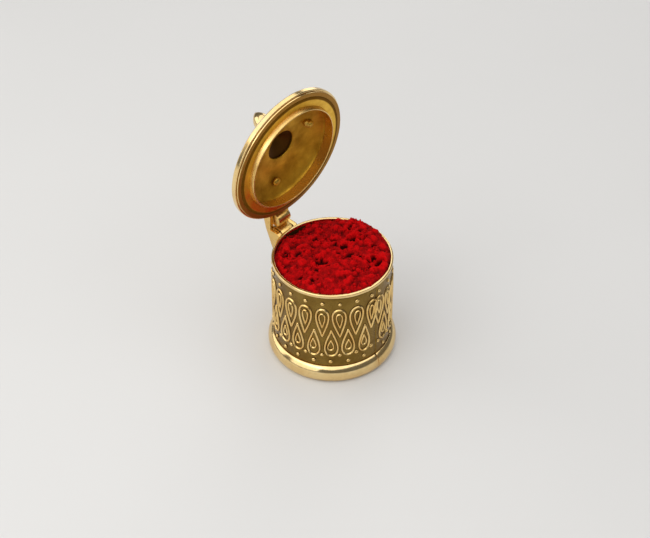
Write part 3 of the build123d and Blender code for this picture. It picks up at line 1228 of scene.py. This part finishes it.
        def soot_and_shade(angle: np.ndarray, radius: np.ndarray, height: np.ndarray) -> np.ndarray:
            """Painted shade: dark on the wall of the hole."""
            return np.where(radius < hole + self.hole_shade_margin, 0.0, 1.0) + 0 * angle

        blank = Blank()
        blank.turn(outline, self.ring_steps, uneven, soot_and_shade)
        heading = math.radians(self.hole_heading)
        aside = self.hole_offset * np.array((math.cos(heading), math.sin(heading)))
        for points in blank.points:
            share = np.clip((crown - np.hypot(points[:, 0], points[:, 1])) / (crown - hole), 0, 1)
            points[:, :2] += share[:, None] * aside
        piece = blank.piece("raised_dome", self.finishes.inside, self.place)
        # Painted reflection: the dome's inner faces take the deeper amber inside finish, and its outer
        # faces take the bright finish.
        piece.data.materials.append(self.finishes.bright)
        upwards = self.place.to_3x3() @ Vector((0, 0, 1))
        for face in piece.data.polygons:
            face.material_index = int(face.normal.dot(upwards) > self.top_tilt)
        settle(piece, Body.LID, Slot.GILT, "lid_dome")

    def _underside(self) -> list[np.ndarray]:
        """The arc of the dome's underside.

        Returns:
            Points of radius and height, from the rim of the recess up to the crown.
        """
        rim, crown, seat = self.recess_radius, self.crown_radius, self.seat_thickness
        under = self.crown_top - self.dome_thickness
        shoulder = seat + self.dome_fullness * (under - seat)
        return arc((rim, seat), ((rim + crown) / 2, shoulder), (crown, under), self.dome_points)

    def tacks(self) -> None:
        """Lumpy solder drops under the dome, none of which comes through it."""
        circle = self.recess_radius - self.tack_inset
        sheet = np.array(self._underside()[::-1])
        height = float(np.interp(circle, sheet[:, 0], sheet[:, 1]))
        chance = np.random.default_rng(self.tack_seed)
        blank = Blank()
        for index in range(self.tack_count):
            angle = math.radians(self.tack_start + 360 * index / self.tack_count)
            for _ in range(self.tack_lumps):
                across, along = circle * math.cos(angle), circle * math.sin(angle)
                spot = np.array((across, along, height - self.tack_sink))
                spot = spot + chance.uniform(self.tack_spread_low, self.tack_spread_high)
                size = self.tack_radius * chance.uniform(*self.tack_size_spread)
                lump(blank, spot, size, chance)
        for points in blank.points:
            limit = np.interp(np.hypot(points[:, 0], points[:, 1]), sheet[:, 0], sheet[:, 1])
            points[:, 2] = np.minimum(points[:, 2], limit + self.dome_thickness / 2)
        piece = blank.piece("solder_drops", self.finishes.solder, self.place)
        settle(piece, Body.LID, Slot.GILT, "solder_tacks")


def ball(fineness: int) -> tuple[np.ndarray, np.ndarray]:
    """A unit ball of even triangles.

    Args:
        fineness: how often its faces are split.

    Returns:
        Its points and its faces.
    """
    form = bmesh.new()
    bmesh.ops.create_icosphere(form, subdivisions=fineness, radius=1.0)
    points = np.array([vertex.co for vertex in form.verts])
    faces = np.array([[vertex.index for vertex in face.verts] for face in form.faces])
    form.free()
    return points, faces


def lump(
    blank: Blank,
    spot: np.ndarray,
    radius: float,
    chance: Chance,
    fineness: int = 3,
    rough: float = 0.12,
    mark: float = 1.0,
) -> None:
    """Add an uneven ball.

    Args:
        blank: what it is added to.
        spot: its middle.
        radius: its mean radius.
        chance: the source of its unevenness.
        fineness: how often its faces are split.
        rough: how uneven it is, as a share of its radius.
        mark: the value stored on it.
    """
    points, faces = ball(fineness)
    waves = chance.normal(size=(LUMP_WAVES, 3)) * LUMP_WAVINESS
    phase = chance.uniform(0, math.tau, LUMP_WAVES)
    swell = np.sin(points @ waves.T + phase).mean(1)
    squeeze = chance.uniform(*LUMP_SQUEEZE, 3)
    formed = points * squeeze * (1 + 2 * rough * swell)[:, None] * radius + spot
    numbers = blank.add(formed, mark)
    blank.faces.extend((faces + numbers[0]).tolist())


@dataclass
class Knob:
    """The turned finial, soldered a little off centre and leaning."""

    lid: Lid
    finishes: Finishes
    lean: float = 15.0
    foot_radius: float = 5.2
    foot_height: float = 0.5
    flare: Span = (2.5, 1.7)
    neck_radius: float = 1.2
    neck_height: float = 3.25
    collar_radius: float = 1.8
    collar_height: float = 0.8
    head_radius: float = 2.2
    head_height: float = 6.9
    belly_height: float = 2.4
    tip_radius: float = 0.4
    hollow_radius: float = 1.0
    hollow_height: float = 2.4
    hollow_rounding: float = 0.2
    hollow_flat_share: float = 0.7
    foot_rounding: float = 0.12
    foot_inset: float = 0.1
    tip_drop: float = 0.06
    tip_flat_share: float = 0.5
    shade_margin: float = 0.05
    flare_points: int = 20
    collar_points: int = 14
    head_points: int = 26
    steps: int = 240

    def build(self) -> None:
        """Turn the knob and stand it on the crown."""
        crown = self.lid.crown_top
        collar_top = self.neck_height + self.collar_height
        top = collar_top + self.head_height
        hole = self.lid.hole_radius
        soft, rest = self.foot_rounding, self.lid.solder_gap
        foot, brim = self.foot_radius, self.foot_radius - self.foot_inset
        outline = [np.array((hole, rest)), np.array((brim, rest))]
        outline += [np.array((foot, soft)), np.array((foot, self.foot_height - soft))]
        neck = (self.neck_radius, self.neck_height)
        outline += arc((brim, self.foot_height), self.flare, neck, self.flare_points)
        collar = (self.collar_radius, self.neck_height + self.collar_height / 2)
        throat = (self.neck_radius, collar_top)
        outline += arc(neck, collar, throat, self.collar_points)[1:]
        belly = (self.head_radius, collar_top + self.belly_height)
        tip = (self.tip_radius, top - self.tip_drop)
        outline += arc(throat, belly, tip, self.head_points)[1:]
        outline += [np.array((self.tip_radius * self.tip_flat_share, top)), np.array((0.0, top))]
        inside, roof = self.hollow_radius, self.hollow_height
        hollow = [np.array((0.0, roof)), np.array((inside * self.hollow_flat_share, roof))]
        hollow += [np.array((inside, roof - self.hollow_rounding))]
        heading = math.radians(self.lid.hole_heading)
        ahead = Vector((math.cos(heading), math.sin(heading), 0))
        aside = ahead * self.lid.hole_offset
        tilt = Matrix.Rotation(math.radians(self.lean), 4, Vector((-ahead.y, ahead.x, 0)))
        stand = Matrix.Translation((aside + Vector((0, 0, crown))) * MM)
        blank = Blank()

        def soot_and_shade(angle: np.ndarray, radius: np.ndarray, height: np.ndarray) -> np.ndarray:
            """Painted shade: dark inside the hollow foot."""
            reach = hole - (hole - inside) * height / roof + self.shade_margin
            return np.where((radius < reach) & (height < roof + self.shade_margin), 0.0, 1.0)

        blank.turn(hollow + outline, self.steps, mark=soot_and_shade)
        self._file_foot(blank, tilt)
        piece = blank.piece("turned_knob", self.finishes.bright, self.lid.place @ stand @ tilt)
        settle(piece, Body.LID, Slot.GILT, "knob")

    def _file_foot(self, blank: Blank, tilt: Matrix) -> None:
        """Slide the foot's points along the leaning axis until the foot lies flat on the crown.

        Args:
            blank: the turned knob.
            tilt: how it leans.
        """
        turn = np.array(tilt)[:3, :3]
        for points in blank.points:
            level = points @ turn.T
            share = np.clip(1 - points[:, 2] / self.neck_height, 0, 1)
            points[:, 2] -= (level[:, 2] - points[:, 2]) * share / turn[2, 2]


@dataclass
class Hinge:
    """The bracket, the pin and the lid's knuckle, with softened edges."""

    plan: Plan
    finishes: Finishes
    softening: float = 0.14
    weld: float = 0.002
    flat_angle: float = 1.5
    sharp_angle: float = 28.0

    def build(self) -> None:
        """Make the hinge's pieces from their CAD forms."""
        self._soften("hinge_bracket", "cast_bracket", Body.BOX)
        self._soften("hinge_pin", "peened_pin", Body.BOX)
        self._soften("lid_hinge_lug", "lid_knuckle", Body.LID)

    def _soften(self, node: str, name: str, body: Body) -> None:
        """Copy a CAD node with its edges rounded.

        Args:
            node: the CAD node.
            name: the new piece's name.
            body: what it moves with.
        """
        form = bmesh.new()
        form.from_mesh(self.plan.nodes[node].data)
        bmesh.ops.remove_doubles(form, verts=form.verts, dist=self.weld * MM)
        flat = math.radians(self.flat_angle)
        bmesh.ops.dissolve_limit(form, angle_limit=flat, verts=form.verts, edges=form.edges)
        sharp = math.radians(self.sharp_angle)
        bmesh.ops.bevel(
            form,
            geom=[edge for edge in form.edges if edge.is_manifold and edge.calc_face_angle() > sharp],
            offset=self.softening * MM,
            segments=3,
            profile=0.5,
            affect="EDGES",
            clamp_overlap=True,
        )
        mesh = bpy.data.meshes.new(name)
        form.to_mesh(mesh)
        form.free()
        mesh.materials.append(self.finishes.cast)
        mesh.shade_smooth()
        settle(stand(name, mesh), body, Slot.GILT, node)


@dataclass
class PowderHeap:
    """The loose powder: a crumbly heap."""

    plan: Plan
    finishes: Finishes
    net: int = 250
    edge_drop: float = 0.5
    heap: float = 1.3
    lean: Span = (0.04, -0.045)
    clumps: int = 360
    clump_radius: Span = (0.75, 1.7)
    clump_shrink: Span = (0.6, 1.0)
    clump_lift: Span = (-0.8, 0.45)
    clump_sink: float = 0.6
    clump_flatness: float = 0.95
    clump_floor: float = -1.5
    crevices: int = 26
    crevice_margin: float = 1.5
    crevice_radius: Span = (0.35, 0.75)
    crevice_depth: Span = (0.7, 1.6)
    crumbs: int = 240
    crumb_radius: Span = (0.14, 0.34)
    crumb_margin: float = 0.7
    crumb_lift: float = 0.3
    crumb_fineness: int = 2
    crumb_rough: float = 0.3
    crumb_mark: float = 0.75
    shade_reach: int = 15
    shade_depth: float = 0.5
    shade_level: float = 0.55
    pit_sharpness: float = 1.5
    pits: tuple[Pit, ...] = (
        (6.5, 0.0, 0.95, 3.0),
        (7.0, -0.4, 0.8, 2.5),
        (5.3, -10.4, 0.8, 3.0),
        (6.0, -10.5, 0.8, 2.6),
        (-4.1, 0.2, 1.0, 1.8),
        (-3.2, -0.3, 0.7, 1.4),
        (1.2, 12.6, 2.6, 1.5),
        (-5.5, 6.5, 1.1, 1.3),
        (10.8, 2.2, 5.0, -1.2),
    )
    swell: float = 0.45
    swell_size: float = 3.1
    crumble: float = 0.16
    crumble_size: float = 0.62
    grit: float = 0.12
    grit_size: float = 0.31
    raggedness: float = 0.8
    ragged_size: float = 0.9
    jitter: float = 0.12
    jitter_size: float = 0.5
    lowest: float = -3.5
    highest: float = 2.2
    press_keep: float = 0.3
    bed_drop: float = 4.0
    bed_rounding: float = 0.2
    bed_edge: float = 0.02
    bed_steps: int = 120
    seed: int = 33

    def build(self) -> None:
        """Make the heap."""
        low, high = self.plan.low_high("kumkum_powder")
        rim = float(self.plan.low_high("rim_ring")[1][2])
        reach = float(high[0])
        chance = np.random.default_rng(self.seed)
        x, y = self._disc(reach)
        tall = self._height(x, y, reach, chance) + rim
        jitter = np.clip(reach - np.hypot(x, y), 0, 1) * self.jitter
        moved_x = x + jitter * field_noise(x, y, self.jitter_size, seed=71)
        moved_y = y + jitter * field_noise(x, y, self.jitter_size, seed=72)
        points = np.stack([moved_x, moved_y, tall], -1)
        blank = Blank()
        numbers = blank.add(points, self._shade(tall))
        blank.net(numbers, False, False)
        sides = [numbers[:-1, 0], numbers[-1, :-1], numbers[:0:-1, -1], numbers[0, :0:-1]]
        border = np.concatenate(sides)
        bed = rim - self.bed_drop
        self._skirt(blank, border, bed)
        self._scatter(blank, points, chance, reach)
        piece = blank.piece("powder_heap", self.finishes.powder, Matrix())
        settle(piece, Body.BOX, Slot.KUMKUM, "kumkum_powder")
        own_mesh(piece)
        self._bed(reach, float(low[2]), bed)

    def _bed(self, reach: float, bottom: float, top: float) -> None:
        """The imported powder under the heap, which the lid doesn't reach.

        Args:
            reach: its radius.
            bottom: its lowest height.
            top: where the heap lies on it.
        """
        outline = [
            (0.0, bottom, 0),
            (reach, bottom, self.bed_rounding),
            (reach, top, self.bed_edge),
            (0.0, top, 0),
        ]
        blank = Blank()
        blank.turn(rounded(outline, closed=False), self.bed_steps)
        piece = blank.piece("powder_bed", self.finishes.powder, Matrix())
        settle(piece, Body.BOX, Slot.KUMKUM, "kumkum_powder")

    def _disc(self, reach: float) -> tuple[np.ndarray, np.ndarray]:
        """Spread a square net evenly over a disc.

        Args:
            reach: the disc's radius.

        Returns:
            The points' x and y.
        """
        side = np.linspace(-1, 1, self.net)
        a, b = np.meshgrid(side, side, indexing="ij")
        wide = np.abs(a) > np.abs(b)
        radius = np.where(wide, a, b)
        safe = np.where(radius == 0, 1, radius)
        quarter = math.pi / 4
        angle = np.where(wide, quarter * b / safe, math.pi / 2 - quarter * a / safe)
        return reach * radius * np.cos(angle), reach * radius * np.sin(angle)

    def _smooth(self, x: np.ndarray, y: np.ndarray, reach: float) -> np.ndarray:
        """The heap's plain form, above the rim."""
        share = (x * x + y * y) / reach**2
        return self.heap * (1 - share) - self.edge_drop + self.lean[0] * x + self.lean[1] * y

    def _height(self, x: np.ndarray, y: np.ndarray, reach: float, chance: Chance) -> np.ndarray:
        """The crumbly surface, above the rim.

        Args:
            x: places along X.
            y: places along Y.
            reach: the heap's radius.
            chance: the source of its clumps.

        Returns:
            Heights.
        """
        clump = np.full(x.shape, self.clump_floor)
        for _ in range(self.clumps):
            radius = chance.uniform(*self.clump_radius) * chance.uniform(*self.clump_shrink)
            spot_x, spot_y = self._spot(reach, chance)
            apart = np.hypot(x - spot_x, y - spot_y)
            lift = chance.uniform(*self.clump_lift) - self.clump_sink * radius
            bulge = np.sqrt(np.clip(radius**2 - apart**2, 0, None))
            clump = np.maximum(clump, lift + bulge * self.clump_flatness)
        tall = self._smooth(x, y, reach) + clump
        tall = tall + self.swell * field_noise(x, y, self.swell_size, seed=41)
        tall = tall + self.crumble * field_noise(x, y, self.crumble_size, seed=42)
        tall = tall + self.grit * field_noise(x, y, self.grit_size, seed=43)
        ragged_x = x + self.raggedness * field_noise(x, y, self.ragged_size, seed=51)
        ragged_y = y + self.raggedness * field_noise(x, y, self.ragged_size, seed=52)
        for spot_x, spot_y, radius, depth in self.pits + tuple(self._crevices(reach, chance)):
            apart = np.hypot(ragged_x - spot_x, ragged_y - spot_y) / radius
            tall = tall - depth * np.exp(-((apart**2) ** self.pit_sharpness))
        return np.clip(tall, self.lowest, self.highest)

    def _crevices(self, reach: float, chance: Chance) -> list[Pit]:
        """Small gaps between the clumps.

        Args:
            reach: the heap's radius.
            chance: the source of their places.

        Returns:
            Each one's x, y, radius and depth.
        """
        made = []
        for _ in range(self.crevices):
            spot = self._spot(reach - self.crevice_margin, chance)
            radius = chance.uniform(*self.crevice_radius)
            made.append((*spot, radius, chance.uniform(*self.crevice_depth)))
        return made

    @staticmethod
    def _spot(reach: float, chance: Chance) -> Span:
        """A random place in a disc, as x and y."""
        angle, out = chance.uniform(0, math.tau), reach * math.sqrt(chance.uniform(0, 1))
        return out * math.cos(angle), out * math.sin(angle)

    def _shade(self, tall: np.ndarray) -> np.ndarray:
        """How far each point stands above its neighbourhood, kept as the crest mark that paints light on
        crests and shade in crevices.

        Args:
            tall: the surface's heights.

        Returns:
            Values from 0 in a crevice to 1 on a crest.
        """
        window = np.ones(2 * self.shade_reach + 1) / (2 * self.shade_reach + 1)
        mean = np.pad(tall, self.shade_reach, "edge")
        for axis in (0, 1):
            mean = np.apply_along_axis(np.convolve, axis, mean, window, "valid")
        return np.clip(self.shade_level + (tall - mean) / (2 * self.shade_depth), 0, 1)

    @staticmethod
    def _skirt(blank: Blank, border: np.ndarray, bottom: float) -> None:
        """Close the heap with a wall and a floor.

        Args:
            blank: what it is added to.
            border: the surface's outer points, in order.
            bottom: the floor's height.
        """
        around = np.vstack(blank.points)[border]
        under = around.copy()
        under[:, 2] = bottom
        lower = blank.add(under, 0.0)
        blank.net(np.vstack([lower, border]).T, True, False)
        blank.cap(lower)

    def _scatter(self, blank: Blank, points: np.ndarray, chance: Chance, reach: float) -> None:
        """Lay loose crumbs on the heap.

        Args:
            blank: what they are added to.
            points: the heap's surface.
            chance: the source of their places.
            reach: the heap's radius.
        """
        flat = points.reshape(-1, 3)
        inner = flat[np.hypot(flat[:, 0], flat[:, 1]) < reach - self.crumb_margin]
        for spot in inner[chance.choice(len(inner), self.crumbs, replace=False)]:
            radius = chance.uniform(*self.crumb_radius)
            raised = spot + np.array((0, 0, self.crumb_lift * radius))
            dress = (self.crumb_fineness, self.crumb_rough, self.crumb_mark)
            lump(blank, raised, radius, chance, *dress)


@dataclass
class Studio:
    """A pale floor, soft lamps and the camera."""

    picture: tuple[int, int] = (650, 538)
    azimuth: float = -46.3
    elevation: float = 41.2
    distance: float = 450.0
    focal_pixels: float = 1825.6
    aim_aside: float = -1.809
    aim_height: float = 23.6
    sensor_width: float = 36.0
    floor_side: float = 3000.0
    floor_colour: Colour = (0.66, 0.65, 0.63, 1)
    paper_patch: float = 60.0
    paper_shade: float = 0.97
    paper_roughness: float = 0.7
    nearest: float = 10.0
    sky: Colour = (0.16, 0.16, 0.165, 1)

    def build(self) -> None:
        """Set up the floor, the lamps and the camera."""
        self._floor()
        self._sky()
        middle = (0, 0, 40)
        self._lamp("top_softbox", spot=(-90, -50, 430), aim=(-90, -50, 0), size=(1000, 960), power=4.0)
        self._lamp("left_softbox", spot=(-420, 20, 240), aim=middle, size=(420, 420), power=0.7)
        self._lamp("right_softbox", spot=(430, 230, 150), aim=middle, size=(220, 220), power=0.25)
        self._lamp("back_softbox", spot=(-220, 430, 210), aim=(0, 20, 60), size=(380, 320), power=0.55)
        self._camera()
        bpy.context.scene.view_settings.view_transform = "Standard"

    def _floor(self) -> None:
        """A wide pale floor."""
        half = self.floor_side / 2 * MM
        mesh = bpy.data.meshes.new("floor")
        corners = [(-half, -half, 0), (half, -half, 0), (half, half, 0), (-half, half, 0)]
        mesh.from_pydata(corners, [], [(0, 1, 2, 3)])
        bench = Bench("floor_paper")
        tone = bench.mottling(self.paper_patch, detail=2.0)
        shade = tuple(value * self.paper_shade for value in self.floor_colour[:3]) + (1.0,)
        paper = bench.blend(tone, shade, self.floor_colour)
        bench.shade(Base_Color=paper, Roughness=self.paper_roughness)
        mesh.materials.append(bench.material)
        floor = stand("floor", mesh)

    def _sky(self) -> None:
        """An even grey room."""
        world = bpy.data.worlds.new("room")
        world.use_nodes = True
        world.node_tree.nodes["Background"].inputs["Color"].default_value = self.sky
        bpy.context.scene.world = world

    @staticmethod
    def _lamp(name: str, spot: Place, aim: Place, size: Place, power: float) -> None:
        """Hang one softbox.

        Args:
            name: the lamp's name.
            spot: where it hangs, in millimetres.
            aim: what it points at, in millimetres.
            size: its width and height, in millimetres.
            power: its power in watts.
        """
        light = bpy.data.lights.new(name, "AREA")
        light.shape = "RECTANGLE"
        light.size, light.size_y = (side * MM for side in size)
        light.energy = power
        lamp = stand(name, light)
        lamp.location = Vector(spot) * MM
        lamp.rotation_euler = (Vector(aim) - Vector(spot)).to_track_quat("-Z", "Y").to_euler()

    def _camera(self) -> None:
        """Place the camera at the picture's viewing angle."""
        turn, lift = math.radians(self.azimuth), math.radians(self.elevation)
        aim = Vector((self.aim_aside * math.cos(turn), self.aim_aside * math.sin(turn), self.aim_height))
        back = Vector((math.sin(turn) * math.cos(lift), -math.cos(turn) * math.cos(lift), math.sin(lift)))
        view = bpy.data.cameras.new("camera")
        view.sensor_width = self.sensor_width
        view.lens = self.focal_pixels * self.sensor_width / self.picture[0]
        view.clip_start = self.nearest * MM
        camera = stand("camera", view)
        camera.location = (aim + back * self.distance) * MM
        camera.rotation_euler = (-back).to_track_quat("-Z", "Y").to_euler()
        bpy.context.scene.camera = camera


def main() -> None:
    """Build the looks of the box around its frame."""
    logging.basicConfig(level=logging.INFO, format="%(message)s")
    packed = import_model()
    plan = Plan(packed)
    finishes = Finishes()
    lid = Lid(plan, finishes)
    BoxBody(plan, finishes).build()
    lid.build()
    Knob(lid, finishes).build()
    Hinge(plan, finishes).build()
    PowderHeap(plan, finishes).build()
    Studio().build()


if __name__ == "__main__":
    main()
